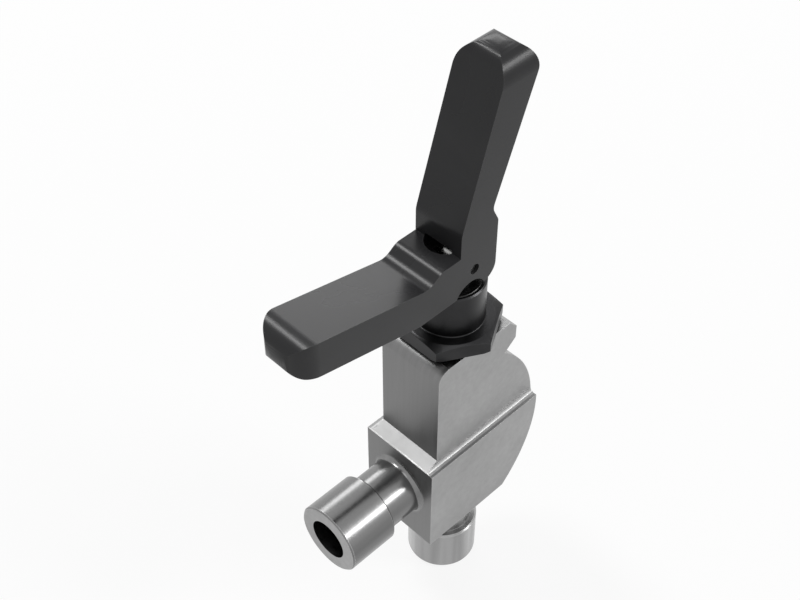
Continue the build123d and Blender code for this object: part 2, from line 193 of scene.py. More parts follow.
def edged(piece, width, segments=2, angle=32):
    """Breaks a piece's sharp edges by a small radius, given in mm."""
    work = bmesh.new()
    work.from_mesh(piece.data)
    bmesh.ops.remove_doubles(work, verts=work.verts, dist=1e-6)
    bmesh.ops.dissolve_degenerate(work, edges=work.edges, dist=1e-6)
    work.to_mesh(piece.data)
    work.free()
    edge = piece.modifiers.new("edge", "BEVEL")
    edge.width = width * MM
    edge.segments = segments
    edge.limit_method = "ANGLE"
    edge.angle_limit = math.radians(angle)
    return settled(piece)


def smoothed(piece, angle=30):
    """Smooth shading that keeps the real edges."""
    piece.data.shade_smooth()
    piece.data.set_sharp_from_angle(angle=math.radians(angle))
    return piece


def evened(piece):
    """Smooth shading over rounds and broken edges that leaves the flats beside them flat."""
    smoothed(piece, 36)
    even = piece.modifiers.new("even", "WEIGHTED_NORMAL")
    even.keep_sharp = True
    return settled(piece)


def blend_line(value, stops):
    """Reads a broken line of (place, result) stops at a place."""
    for (a, first), (b, second) in zip(stops, stops[1:]):
        if a <= value <= b:
            return first + (second - first) * (value - a) / (b - a)
    return stops[0][1] if value < stops[0][0] else stops[-1][1]


def block_front(z):
    """The front: the ledge slopes between its two levels, and the crown above is rounded."""
    if z > block_high - crown_r:
        rise = z - (block_high - crown_r)
        return upper_front + crown_r - math.sqrt(max(crown_r**2 - rise**2, 0.0))
    return blend_line(z, ((ledge_low, lower_front), (ledge_high, upper_front)))


def block_back(z):
    """The back: one large arc up to the notch, then the boss with its sloping top edge."""
    if z <= notch_z:
        return back_x + math.sqrt(back_r**2 - (z - back_z) ** 2)
    return blend_line(
        z,
        (
            (notch_z, notch_x),
            (boss_low, boss_x),
            (block_high - boss_edge, boss_x),
            (block_high, boss_x - boss_edge),
        ),
    )


fillet_stops = [
    (
        ledge_low + side_fillet * (1 - math.cos(math.radians(30 * k))),
        upper_half + side_fillet * (1 - math.sin(math.radians(30 * k))),
    )
    for k in range(4)
]


def block_level(z):
    """The block's level rectangle; its broad sides step in over a fillet above the lower half."""
    front, back = block_front(z), block_back(z)
    half = blend_line(z, ((step_low, lower_half), *fillet_stops))
    return [(front, -half, z), (back, -half, z), (back, half, z), (front, half, z)]


heights = {block_low, step_low, ledge_low, ledge_high}
heights |= {notch_z, boss_low, block_high - boss_edge, block_high}
heights |= {height for height, half in fillet_stops}
heights |= {block_low + (notch_z - block_low) * k / 60 for k in range(1, 60)}
heights |= {block_high - crown_r + crown_r * math.sin(math.radians(7.5 * k)) for k in range(12)}
block = lofted([block_level(z) for z in sorted(heights)])
body = placed("valve_body", closed_mesh(block, "block"))
edged(body, 0.15, 3)


def pipe_end(face):
    """A turned pipe end from its outer face at 0 to the block's face, and some way into it."""
    root = port_neck + neck_fillet
    return [
        (0, 0),
        (port_head - head_edge, 0),
        (port_head, head_edge),
        (port_head, head_length - head_edge),
        (port_head - head_edge, head_length),
        (port_neck, head_length),
        *arc(root, face - neck_fillet, neck_fillet, 180, 90, 6),
        (root, face + weld_depth),
        (0, face + weld_depth),
    ]


flow_way = [
    (0, -run_out),
    (port_bore, -run_out),
    (port_bore, lower_bore_end),
    (orifice, orifice_low),
    (orifice, seat_height),
    (seat_lip, seat_height),
    (seat_lip, lip_low),
    (chamber, lip_low),
    (chamber, bonnet_bore_low),
    (bonnet_bore, bonnet_bore_low),
    (bonnet_bore, block_high - bore_mouth),
    (bonnet_bore + bore_mouth, block_high),
    (bonnet_bore + 2 * bore_mouth, block_high + bore_mouth),
    (0, block_high + bore_mouth),
]
side_way = [
    (0, -run_out),
    (port_bore, -run_out),
    (port_bore, side_bore_end),
    (side_passage, side_passage_start),
    (side_passage, port_height),
    (0, port_height),
]
side_face = (-port_height, 0, port_height)
machined(
    body,
    welds=[
        turned(pipe_end(block_low), 128),
        turned(pipe_end(port_height + lower_front), 128, "X", side_face),
    ],
    cuts=[turned(flow_way, 96), turned(side_way, 96, "X", side_face)],
)
evened(body)


def grey(level):
    return (level, level, level)


class Finish:
    """A surface's node tree: a Principled shader with its patterns on object coordinates."""

    def __init__(self, name, metallic, roughness):
        self.material = bpy.data.materials.new(name)
        self.material.use_nodes = True
        self.tree = self.material.node_tree
        self.shader = self.tree.nodes["Principled BSDF"]
        self.shader.inputs["Metallic"].default_value = metallic
        self.shader.inputs["Roughness"].default_value = roughness
        self.place = self.node("ShaderNodeTexCoord").outputs["Object"]
        self.relief = None

    def node(self, kind, **settings):
        made = self.tree.nodes.new(kind)
        for key, value in settings.items():
            setattr(made, key, value)
        return made

    def link(self, source, target):
        self.tree.links.new(source, target)

    def stretched(self, scale):
        """Object coordinates with each direction scaled, so that a pattern runs along one of them."""
        mapping = self.node("ShaderNodeMapping")
        mapping.inputs["Scale"].default_value = scale
        self.link(self.place, mapping.inputs["Vector"])
        return mapping.outputs["Vector"]

    def cloud(self, scale, detail=4.0, rough=0.55, place=None, distortion=0.0):
        """Drifting noise; the scale counts features in one metre."""
        noise = self.node("ShaderNodeTexNoise")
        noise.inputs["Scale"].default_value = scale
        noise.inputs["Detail"].default_value = detail
        noise.inputs["Roughness"].default_value = rough
        noise.inputs["Distortion"].default_value = distortion
        self.link(place or self.place, noise.inputs["Vector"])
        return noise.outputs["Fac"]

    def ranged(self, value, low, high, out_low, out_high):
        """Stretches a value from one range to another, held at its ends."""
        span = self.node("ShaderNodeMapRange", clamp=True)
        for socket, number in zip(span.inputs[1:5], (low, high, out_low, out_high)):
            socket.default_value = number
        self.link(value, span.inputs["Value"])
        return span.outputs["Result"]

    def toned(self, value, *stops):
        """Turns a value into a colour along the given (position, colour) stops."""
        ramp = self.node("ShaderNodeValToRGB")
        bar = ramp.color_ramp
        while len(bar.elements) < len(stops):
            bar.elements.new(0.5)
        for element, (position, colour) in zip(bar.elements, stops):
            element.position = position
            element.color = (*colour, 1.0)
        self.link(value, ramp.inputs["Fac"])
        return ramp.outputs["Color"]

    def rubbed(self, colour, worn_colour, radius, low=0.02, high=0.25):
        """A colour that turns to a worn one where the surface goes over an edge; radius in mm."""
        rounded = self.node("ShaderNodeBevel", samples=4)
        rounded.inputs["Radius"].default_value = radius * MM
        flat = self.node("ShaderNodeNewGeometry")
        dot = self.node("ShaderNodeVectorMath", operation="DOT_PRODUCT")
        self.link(rounded.outputs["Normal"], dot.inputs[0])
        self.link(flat.outputs["Normal"], dot.inputs[1])
        turned_away = self.node("ShaderNodeMath", operation="SUBTRACT")
        turned_away.inputs[0].default_value = 1.0
        self.link(dot.outputs["Value"], turned_away.inputs[1])
        mix = self.node("ShaderNodeMix", data_type="RGBA")
        self.link(self.ranged(turned_away.outputs["Value"], low, high, 0.0, 1.0), mix.inputs["Factor"])
        self.link(colour, mix.inputs[6])
        mix.inputs[7].default_value = (*worn_colour, 1.0)
        return mix.outputs[2]

    def coloured(self, colour):
        self.link(colour, self.shader.inputs["Base Color"])

    def roughened(self, value, smooth, rough):
        """Roughness between two levels, while the value goes from 0.3 to 0.7."""
        self.link(self.ranged(value, 0.3, 0.7, smooth, rough), self.shader.inputs["Roughness"])

    def bumped(self, value, depth, strength=0.5):
        """Adds relief of a depth in mm."""
        bump = self.node("ShaderNodeBump")
        bump.inputs["Distance"].default_value = depth * MM
        bump.inputs["Strength"].default_value = strength
        self.link(value, bump.inputs["Height"])
        if self.relief is not None:
            self.link(self.relief, bump.inputs["Normal"])
        self.relief = bump.outputs["Normal"]
        self.link(self.relief, self.shader.inputs["Normal"])


satin = Finish("blasted_steel", 1.0, 0.42)
drift = satin.cloud(70, 5.0, 0.6)
blasted = satin.toned(drift, (0.3, grey(0.31)), (0.55, grey(0.35)), (0.75, grey(0.39)))
satin.coloured(satin.rubbed(blasted, grey(0.46), 0.35))
satin.roughened(satin.cloud(900, 3.0, 0.6), 0.36, 0.5)
satin.bumped(satin.cloud(2600, 2.0, 0.5), 0.006, 0.6)
satin.bumped(drift, 0.12, 0.25)


def lathe_finish(name, across, along, dark, light):
    """Turned steel: fine tool lines square to the axis over soft streaks along it, which are painted
    reflection bands.
    """
    bright = Finish(name, 1.0, 0.24)
    lines = bright.cloud(1.0, 3.0, 0.6, bright.stretched(across))
    # The streaks along the axis are painted reflection bands.
    reflection_streaks = bright.cloud(1.0, 2.0, 0.5, bright.stretched(along))
    painted_streak_tone = bright.toned(reflection_streaks, (0.3, grey(dark)), (0.7, grey(light)))
    bright.coloured(bright.rubbed(painted_streak_tone, grey(0.6), 0.3))
    bright.roughened(lines, 0.21, 0.27)
    bright.bumped(lines, 0.002, 0.18)
    return bright


lathe_up = lathe_finish("turned_steel_upright", (40, 40, 4200), (260, 260, 12), 0.24, 0.46)
# The sideways pipe end takes a darker copy of the same turned steel, painted shade.
lathe_side_shaded = lathe_finish("turned_steel_sideways_shaded", (4200, 40, 40), (12, 260, 260), 0.16, 0.24)

# Milled steel with real cutter marks. Its darker tone is painted shade on the faces chosen below.
milled_and_shaded = Finish("milled_steel_painted_shade", 1.0, 0.4)
cutter = milled_and_shaded.cloud(1.0, 4.0, 0.6, milled_and_shaded.stretched((60, 1500, 60)))
painted_shade_tone = milled_and_shaded.toned(cutter, (0.3, grey(0.18)), (0.7, grey(0.22)))
milled_and_shaded.coloured(milled_and_shaded.rubbed(painted_shade_tone, grey(0.36), 0.35))
milled_and_shaded.roughened(cutter, 0.34, 0.46)
milled_and_shaded.bumped(cutter, 0.002, 0.3)

# The pipe ends and bores keep the lathe's finish. The crown's round, the two fronts
# and the narrow ledge on the broad sides take a darker milled steel, which is painted shade.
turned_up, turned_sideways, shaded_cut = 1, 2, 3
wide_slack, slack, tight_slack = 0.1, 0.05, 0.02
body.data.materials.clear()
for finish in (satin, lathe_up, lathe_side_shaded, milled_and_shaded):
    body.data.materials.append(finish.material)
for face in body.data.polygons:
    x, y, z = face.center / MM
    around = math.hypot(x, y)
    beside = math.hypot(y, z - port_height)
    if z < block_low - tight_slack or (around < bonnet_bore + wide_slack and z > 0):
        face.material_index = turned_up
    side_end = lower_front - tight_slack > x > slack - port_height
    if side_end or (beside < port_bore + wide_slack and x < wide_slack - chamber):
        face.material_index = turned_sideways
    # Painted shade: masks for the fronts, the crown's round beside them and the level side ledge.
    above_ledge = z > ledge_high - wide_slack and abs(face.normal.y) < 0.5
    upper_front_shade = above_ledge and x < upper_front + crown_r
    lower_front_shade = abs(x - lower_front) < slack and face.normal.x < -0.9
    level_face = face.normal.z > 0.9 and around > bonnet_bore + wide_slack
    ledge_shade = level_face and ledge_low - 2 * wide_slack < z < ledge_low + slack
    if upper_front_shade or lower_front_shade or ledge_shade:
        face.material_index = shaded_cut
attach(body, "valve")
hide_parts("body")

# Soft seat
# A white soft disc closes the orifice. It is pushed on the stem's stud and
# held there by a thin steel washer and a small hexagon nut.
stud = 1.0
disc_outer, disc_top = 3.45, 27.0
clamp_outer = 1.9
nut_across, nut_low, nut_high = 3.0, 23.4, 24.6
nut_slope, nut_chamfer = 0.22, 0.14
past_corner = 0.02


def flat_ring(inner, outer, low, high, edge=0.12):
    """Section of a flat ring with broken outer edges, in mm."""
    return [
        (inner, low),
        (outer - edge, low),
        (outer, low + edge),
        (outer, high - edge),
        (outer - edge, high),
        (inner, high),
    ]


def drilled(radius, low, high, steps, axis="Z", at=(0, 0, 0)):
    """A round cutter from one height to another along its axis, in mm."""
    return turned([(0, low), (radius, low), (radius, high), (0, high)], steps, axis, at)


def ring_piece(name, section, steps=96, angle=30):
    """A piece turned from a section of (radius, height) points."""
    return smoothed(placed(name, turned(section, steps)), angle)


def dressed(piece, finish, body_name, node):
    """Gives a piece its finish, its body and the node that it stands for."""
    piece.data.materials.clear()
    piece.data.materials.append(finish.material)
    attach(piece, body_name)
    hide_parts(node)


white_disc = Finish("soft_white_seat", 0.0, 0.5)
cast = white_disc.cloud(260, 4.0, 0.6)
white_disc.coloured(white_disc.toned(cast, (0.3, (0.74, 0.73, 0.69)), (0.7, (0.82, 0.81, 0.78))))
white_disc.roughened(cast, 0.42, 0.56)
white_disc.bumped(white_disc.cloud(1800, 3.0), 0.008)
white_disc.shader.inputs["Subsurface Weight"].default_value = 0.08
white_disc.shader.inputs["Subsurface Scale"].default_value = 0.001

seat_disc = ring_piece("seat_disc", flat_ring(stud, disc_outer, seat_height, disc_top, 0.15))
dressed(seat_disc, white_disc, "stem", "stem_tip")

small_steel = Finish("small_steel_parts", 1.0, 0.28)
stain = small_steel.cloud(320, 4.0, 0.6)
stained = small_steel.toned(stain, (0.3, (0.42, 0.42, 0.41)), (0.7, (0.55, 0.55, 0.54)))
small_steel.coloured(small_steel.rubbed(stained, (0.75, 0.75, 0.74), 0.15))
small_steel.roughened(stain, 0.22, 0.36)
small_steel.bumped(small_steel.cloud(2400, 3.0), 0.004)

seat_washer = ring_piece("seat_washer", flat_ring(stud, clamp_outer, nut_high, seat_height, 0.06), 72)
dressed(seat_washer, small_steel, "stem", "tip_washer")


def hexagon(across, low, high, turn=0.0):
    """A plain hexagon bar end, in mm, with corners at the given turn from +X."""
    corner = across / math.sqrt(3)
    bearings = [math.radians(turn + 60 * k) for k in range(6)]
    outline = [(corner * math.cos(bearing), corner * math.sin(bearing)) for bearing in bearings]
    rings = [[(x, y, z) for x, y in outline] for z in (low, high)]
    return closed_mesh(lofted(rings), "hexagon")


seat_nut = placed("seat_nut", hexagon(nut_across, nut_low, nut_high))
nut_corner = nut_across / math.sqrt(3)
nut_envelope = [
    (0, nut_low),
    (nut_corner - nut_slope, nut_low),
    (nut_corner + past_corner, nut_low + nut_chamfer),
    (nut_corner + past_corner, nut_high - nut_chamfer),
    (nut_corner - nut_slope, nut_high),
    (0, nut_high),
]
machined(
    seat_nut,
    cuts=[drilled(stud, nut_low - run_out, nut_high + run_out, 48)],
    keeps=[turned(nut_envelope, 72)],
)
smoothed(seat_nut, 25)
dressed(seat_nut, small_steel, "stem", "tip_nut")

# Stem
# Ground stainless rod, turned in one piece: a head with the stud for the soft
# disc, a slim neck, a grooved piston, the long shank and a flat tongue whose
# rounded crown shows silver in the handle's well. The cross pin goes through it.
stud_low = 23.2
stem_head, head_high, head_break = 3.6, 31.2, 0.3
stem_neck = 2.2
piston, piston_low, piston_high = 3.2, 46.7, 52.4
groove_low, groove_high = 47.8, 50.7
lathe_break = 0.15
shank = 2.4
pin_height = 80.8
crown = 2.75
tongue_low, tongue_half, cross_hole = 75.05, 1.9, 1.05

stem_profile = [
    (0, stud_low),
    (stud - lathe_break, stud_low),
    (stud, stud_low + lathe_break),
    (stud, disc_top),
    (stem_head - lathe_break, disc_top),
    (stem_head, disc_top + lathe_break),
    (stem_head, head_high - head_break),
    (stem_head - head_break, head_high),
    (stem_neck, head_high),
    (stem_neck, piston_low),
    (piston - lathe_break, piston_low),
    (piston, piston_low + lathe_break),
    (piston, groove_low),
    (stem_neck, groove_low),
    (stem_neck, groove_high),
    (piston, groove_high),
    (piston, piston_high - lathe_break),
    (piston - lathe_break, piston_high),
    (shank, piston_high),
    *arc(0, pin_height, crown, math.degrees(math.acos(shank / crown)), 90, 14),
]
stem = placed("valve_stem", turned(stem_profile, 96))


def plate(outline, low, high):
    """A flat plate with a side outline of (x, z) points, from one y to another, in mm."""
    rings = [[(x, y, z) for x, z in outline] for y in (low, high)]
    return closed_mesh(lofted(rings), "plate")


past_stem, past_crown = 4, 86
beside_tongue = [
    (-past_stem, tongue_low),
    (past_stem, tongue_low),
    (past_stem, past_crown),
    (-past_stem, past_crown),
]
machined(
    stem,
    cuts=[
        plate(beside_tongue, tongue_half, past_stem),
        plate(beside_tongue, -past_stem, -tongue_half),
        drilled(cross_hole, -past_stem, past_stem, 64, "Y", (0, 0, pin_height)),
    ],
)
edged(stem, 0.08, 2)
evened(stem)

ground = Finish("ground_stem_steel", 1.0, 0.22)
grinding = ground.cloud(1.0, 3.0, 0.6, ground.stretched((60, 60, 5200)))
ground_tone = ground.toned(ground.cloud(200), (0.3, (0.30, 0.30, 0.295)), (0.7, (0.40, 0.40, 0.395)))
ground.coloured(ground.rubbed(ground_tone, (0.7, 0.7, 0.69), 0.2))
ground.roughened(grinding, 0.16, 0.3)
ground.bumped(grinding, 0.003)
dressed(stem, ground, "stem", "stem")

# Piston seals
# A rubber O-ring in the piston's groove, between two white back-up rings that
# keep it from being squeezed out.
seal_outer, backup_height, groove_play = 3.28, 0.8, 0.05
lower_backup = groove_low + groove_play
upper_backup = groove_high - groove_play - backup_height


def seal_section(inner, outer, low, high):
    """Section of a moulded seal: a rectangle rounded on all four edges, in mm."""
    corner = 0.42 * min(outer - inner, high - low)
    return [
        *arc(outer - corner, low + corner, corner, -90, 0, 6),
        *arc(outer - corner, high - corner, corner, 0, 90, 6),
        *arc(inner + corner, high - corner, corner, 90, 180, 6),
        *arc(inner + corner, low + corner, corner, 180, 270, 6),
    ]


black_rubber = Finish("seal_rubber", 0.0, 0.6)
bloom = black_rubber.cloud(420, 4.0, 0.6)
rubber_tone = black_rubber.toned(bloom, (0.35, (0.014, 0.014, 0.015)), (0.75, (0.035, 0.035, 0.036)))
black_rubber.coloured(rubber_tone)
black_rubber.roughened(bloom, 0.5, 0.68)
black_rubber.bumped(black_rubber.cloud(3000, 3.0), 0.006)

ring_section = seal_section(stem_neck, seal_outer, lower_backup + backup_height, upper_backup)
piston_ring = ring_piece("piston_ring", ring_section, angle=40)
dressed(piston_ring, black_rubber, "stem", "stem_o_ring")
for name, low, node in (
    ("lower_backup", lower_backup, "backup_ring_lower"),
    ("upper_backup", upper_backup, "backup_ring_upper"),
):
    backup = ring_piece(name, flat_ring(stem_neck, seal_outer, low, low + backup_height, 0.06))
    dressed(backup, white_disc, "stem", node)

# Stem spring
# Round drawn wire, wound in eight open turns between two thin washers. It
# pushes the piston, and with it the soft disc, down on the seat.
wire, coil, turns = 0.42, 3.3, 8.0
coil_low, coil_high = 53.2, 70.4
spring_washer = 0.8


def wound(name, sizes, profile_points, finish):
    """A profile swept along a helix round the stem's axis by geometry nodes, left as plain mesh."""
    tree = bpy.data.node_groups.new(name, "GeometryNodeTree")
    for label in sizes:
        tree.interface.new_socket(label, in_out="INPUT", socket_type="NodeSocketFloat")
    tree.interface.new_socket("Geometry", in_out="OUTPUT", socket_type="NodeSocketGeometry")
    add, link = tree.nodes.new, tree.links.new
    given, result = add("NodeGroupInput"), add("NodeGroupOutput")
    helix = add("GeometryNodeCurveSpiral")
    helix.inputs["Resolution"].default_value = 48
    link(given.outputs["Turns"], helix.inputs["Rotations"])
    link(given.outputs["Coil Radius"], helix.inputs["Start Radius"])
    link(given.outputs["Coil Radius"], helix.inputs["End Radius"])
    link(given.outputs["Height"], helix.inputs["Height"])
    upright = add("GeometryNodeSetCurveNormal")
    upright.mode = "Z_UP"
    link(helix.outputs["Curve"], upright.inputs["Curve"])
    profile = add("GeometryNodeCurvePrimitiveCircle")
    profile.inputs["Resolution"].default_value = profile_points
    link(given.outputs["Wire Radius"], profile.inputs["Radius"])
    swept = add("GeometryNodeCurveToMesh")
    swept.inputs["Fill Caps"].default_value = True
    link(upright.outputs["Curve"], swept.inputs["Curve"])
    link(profile.outputs["Curve"], swept.inputs["Profile Curve"])
    lift = add("ShaderNodeCombineXYZ")
    link(given.outputs["Bottom"], lift.inputs["Z"])
    raised = add("GeometryNodeTransform")
    link(swept.outputs["Mesh"], raised.inputs["Geometry"])
    link(lift.outputs["Vector"], raised.inputs["Translation"])
    real = add("GeometryNodeRealizeInstances")
    link(raised.outputs["Geometry"], real.inputs["Geometry"])
    coated = add("GeometryNodeSetMaterial")
    coated.inputs["Material"].default_value = finish.material
    link(real.outputs["Geometry"], coated.inputs["Geometry"])
    link(coated.outputs["Geometry"], result.inputs["Geometry"])
    piece = placed(name, bpy.data.meshes.new(name))
    winding = piece.modifiers.new("winding", "NODES")
    winding.node_group = tree
    for item in tree.interface.items_tree:
        if item.in_out == "INPUT":
            winding[item.identifier] = sizes[item.name]
    return settled(piece)


drawn_wire = Finish("drawn_spring_wire", 1.0, 0.3)
wire_tone = drawn_wire.cloud(300)
drawn_wire.coloured(drawn_wire.toned(wire_tone, (0.3, (0.4, 0.4, 0.39)), (0.7, (0.56, 0.56, 0.55))))
drawn_wire.roughened(wire_tone, 0.24, 0.4)
drawn_wire.bumped(drawn_wire.cloud(2600, 3.0), 0.004)

spring = wound(
    "stem_coil",
    {
        "Wire Radius": wire * MM,
        "Coil Radius": coil * MM,
        "Turns": turns,
        "Height": (coil_high - coil_low - 2 * wire) * MM,
        "Bottom": (coil_low + wire) * MM,
    },
    16,
    drawn_wire,
)
spring.data.shade_smooth()
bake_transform(spring)
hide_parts("stem_spring")

for name, inner, outer, low, body_name, node in (
    ("spring_foot", 2.45, 4.1, piston_high, "stem", "spring_lower_washer"),
    ("spring_head", 2.5, 4.15, coil_high, "valve", "spring_upper_washer"),
):
    washer = ring_piece(name, flat_ring(inner, outer, low, low + spring_washer, 0.1))
    dressed(washer, small_steel, body_name, node)

# Stem bush and wiper
# A bearing ring of tan plastic guides the stem in the top of the bonnet, and a
# soft ring above it keeps dust off the stem.
gland, wiper_pocket = 3.3, 3.7
bush_low, bush_high, wiper_high = 71.2, 73.7, 75.05
bush_play, wiper_play = 0.05, 0.02

bearing = Finish("tan_bearing_plastic", 0.0, 0.45)
mould = bearing.cloud(380, 4.0, 0.6)
bearing.coloured(bearing.toned(mould, (0.3, (0.42, 0.36, 0.25)), (0.7, (0.5, 0.44, 0.32))))
bearing.roughened(mould, 0.38, 0.52)
bearing.bumped(bearing.cloud(2200, 3.0), 0.006)
bush = ring_piece("guide_bush", flat_ring(shank + bush_play, gland, bush_low, bush_high, 0.15))
dressed(bush, bearing, "valve", "stem_bush")
wiper_section = seal_section(shank + wiper_play, wiper_pocket - wiper_play, bush_high, wiper_high)
wiper = ring_piece("wiper_ring", wiper_section, angle=40)
dressed(wiper, black_rubber, "valve", "dust_ring")

# Bonnet
# Turned from hexagon bar and blackened: a chamfered hexagon, a plain round
# barrel above it and a threaded shank below, screwed into the body on a thin
# dark washer. An O-ring under the thread's end seals it.
hex_across, hex_low, hex_high = 16.7, 64.3, 67.3
hex_slope, hex_chamfer = 1.7, 0.85
hex_foot_slope, hex_foot_chamfer = 0.5, 0.3
barrel, barrel_high, barrel_edge = 6.15, 75.95, 0.25
barrel_fillet, sunk = 0.2, 0.5
nose, nose_low, nose_high = 4.35, 45.9, 47.7
thread_lead, thread_root, thread_low = 4.7, 5.02, 48.0
spring_room, spring_room_low = 4.2, 52.2
wear_recess, bonnet_washer_outer = 5.52, 6.7
hex_corner = hex_across / math.sqrt(3)

bonnet = placed("black_bonnet", hexagon(hex_across, hex_low, hex_high, 30))
hex_envelope = [
    (0, hex_low),
    (hex_corner - hex_foot_slope, hex_low),
    (hex_corner + past_corner, hex_low + hex_foot_chamfer),
    (hex_corner + past_corner, hex_high - hex_chamfer),
    (hex_corner - hex_slope, hex_high),
    (0, hex_high),
]
machined(bonnet, keeps=[turned(hex_envelope, 144)])
edged(bonnet, 0.15, 2, 20)
shank_and_barrel = [
    (0, nose_low),
    (nose, nose_low),
    (nose, nose_high),
    (thread_lead, nose_high),
    (thread_root, thread_low),
    (thread_root, hex_low + sunk),
    (barrel + barrel_fillet, hex_low + sunk),
    *arc(barrel + barrel_fillet, hex_high + barrel_fillet, barrel_fillet, 270, 180, 6),
    (barrel, barrel_high - barrel_edge),
    (barrel - barrel_edge, barrel_high),
    (0, barrel_high),
]
bonnet_way = [
    (0, nose_low - run_out),
    (gland, nose_low - run_out),
    (gland, spring_room_low),
    (spring_room, spring_room_low),
    (spring_room, bush_low),
    (gland, bush_low),
    (gland, bush_high),
    (wiper_pocket, bush_high),
    (wiper_pocket, wiper_high),
    (wear_recess, wiper_high),
    (wear_recess, barrel_high + run_out),
    (0, barrel_high + run_out),
]
machined(bonnet, welds=[turned(shank_and_barrel, 128)], cuts=[turned(bonnet_way, 96)])
evened(bonnet)

blackened = Finish("blackened_bonnet", 1.0, 0.34)
blacking = blackened.cloud(180, 5.0, 0.6)
tool_lines = blackened.cloud(1.0, 3.0, 0.6, blackened.stretched((50, 50, 3600)))
black_tone = blackened.toned(blacking, (0.3, (0.028, 0.028, 0.029)), (0.7, (0.040, 0.040, 0.041)))
blackened.coloured(blackened.rubbed(black_tone, (0.07, 0.07, 0.071), 0.22, 0.05, 0.35))
blackened.roughened(blacking, 0.28, 0.42)
blackened.bumped(tool_lines, 0.004)
dressed(bonnet, blackened, "valve", "bonnet")

thread = wound(
    "bonnet_thread",
    {
        "Wire Radius": 0.46 * MM,
        "Coil Radius": 5.12 * MM,
        "Turns": 13.0,
        "Height": 13.4 * MM,
        "Bottom": 48.7 * MM,
    },
    6,
    blackened,
)
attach(thread, "valve")

nose_section = seal_section(nose, bonnet_bore, nose_low, nose_high - groove_play)
nose_seal = ring_piece("nose_seal", nose_section, angle=40)
dressed(nose_seal, black_rubber, "valve", "bonnet_o_ring")

dark_washer = Finish("dark_bonnet_washer", 0.0, 0.5)
washer_grain = dark_washer.cloud(420)
washer_tone = dark_washer.toned(washer_grain, (0.3, (0.012, 0.012, 0.013)), (0.7, (0.022, 0.022, 0.023)))
dark_washer.coloured(washer_tone)
dark_washer.roughened(washer_grain, 0.42, 0.58)
dark_washer.bumped(dark_washer.cloud(2200, 3.0), 0.006)
washer_section = flat_ring(bonnet_bore, bonnet_washer_outer, block_high, hex_low, 0.1)
bonnet_seat = ring_piece("bonnet_seat_washer", washer_section)
dressed(bonnet_seat, dark_washer, "valve", "bonnet_washer")

# Wear washer
# A flat ring let into the top of the barrel, level with its rim; its near-black tone is
# painted shade from the handle's hub above it. The handle's cam foot slides on it, which leaves it
# finely ringed.
wear_inner, wear_outer = 2.5, 5.4
worn_and_shaded = Finish("wear_washer_steel_painted_shade", 1.0, 0.35)
scuffs = worn_and_shaded.cloud(1.0, 4.0, 0.6, worn_and_shaded.stretched((300, 2600, 300)))
# Near-black tone as painted shade under the hub, with real scuffs and rubbed edges.
worn_and_shaded.coloured(worn_and_shaded.rubbed(worn_and_shaded.toned(scuffs, (0.3, grey(0.02)), (0.7, grey(0.04))), grey(0.07), 0.2))
worn_and_shaded.roughened(scuffs, 0.28, 0.45)
worn_and_shaded.bumped(scuffs, 0.004, 0.6)
wear_ring = ring_piece("wear_ring", flat_ring(wear_inner, wear_outer, wiper_high, barrel_high), 128)
dressed(wear_ring, worn_and_shaded, "valve", "cam_washer")

# Handle
# One black nylon moulding: a hub with a flat foot, a cam corner and a relief
# arch, and two square-sided paddles in a wide V. A slot between the hub's
# cheeks takes the stem's tongue, and a round well in the crook shows its crown.
half_wide = 5.1
foot, heel, top, crook = 4.45, 5.1, 4.3, 3.45
left_lift, right_lean = 12.5, 18.6
left_reach, right_reach = 38.2, 37.7
left_outer, right_outer, inner_tip = 0.15, 1.05, 6.9
left_angle, right_angle = 180 - left_lift, 90 - right_lean
left_step, left_root, foot_end = 7.8, 10.75, 12.6
right_step, right_root, crook_high = 7.7, 11.3, 9.0
tip_outer, tip_inner, end_corner_r = 3.6, 3.2, 4.65


def beside_pin(angle, run, offset):
    """A side point: run along a paddle from the pin, offset square to it, in mm."""
    direction = math.radians(angle)
    return (
        run * math.cos(direction) - offset * math.sin(direction),
        pin_height + run * math.sin(direction) + offset * math.cos(direction),
    )


def rounded_outline(corners, step=7.5, shortest=0.3):
    """A closed outline whose (point, radius) corners are arcs, with no chord much below the shortest."""
    outline = []
    count = len(corners)
    for i, (point, radius) in enumerate(corners):
        here = Vector(point)
        if radius == 0:
            outline.append(tuple(here))
            continue
        back = (Vector(corners[i - 1][0]) - here).normalized()
        ahead = (Vector(corners[(i + 1) % count][0]) - here).normalized()
        opening = back.angle(ahead)
        reach = radius / math.tan(opening / 2)
        centre = here + (back + ahead).normalized() * radius / math.sin(opening / 2)
        start = here + back * reach - centre
        sweep = math.pi - opening
        sense = 1 if back.x * ahead.y - back.y * ahead.x < 0 else -1
        by_turn, by_length = math.ceil(math.degrees(sweep) / step), round(radius * sweep / shortest)
        pieces = max(2, min(by_turn, by_length))
        for k in range(pieces + 1):
            turn = sense * sweep * k / pieces
            outline.append(
                (
                    centre.x + start.x * math.cos(turn) - start.y * math.sin(turn),
                    centre.y + start.x * math.sin(turn) + start.y * math.cos(turn),
                )
            )
    return outline


def end_corner(angle, lean, reach, offset):
    """A corner of a paddle's end face, which stands upright on the left and level on the right."""
    run = (reach - offset * math.sin(math.radians(lean))) / math.cos(math.radians(lean))
    return beside_pin(angle, run, offset)


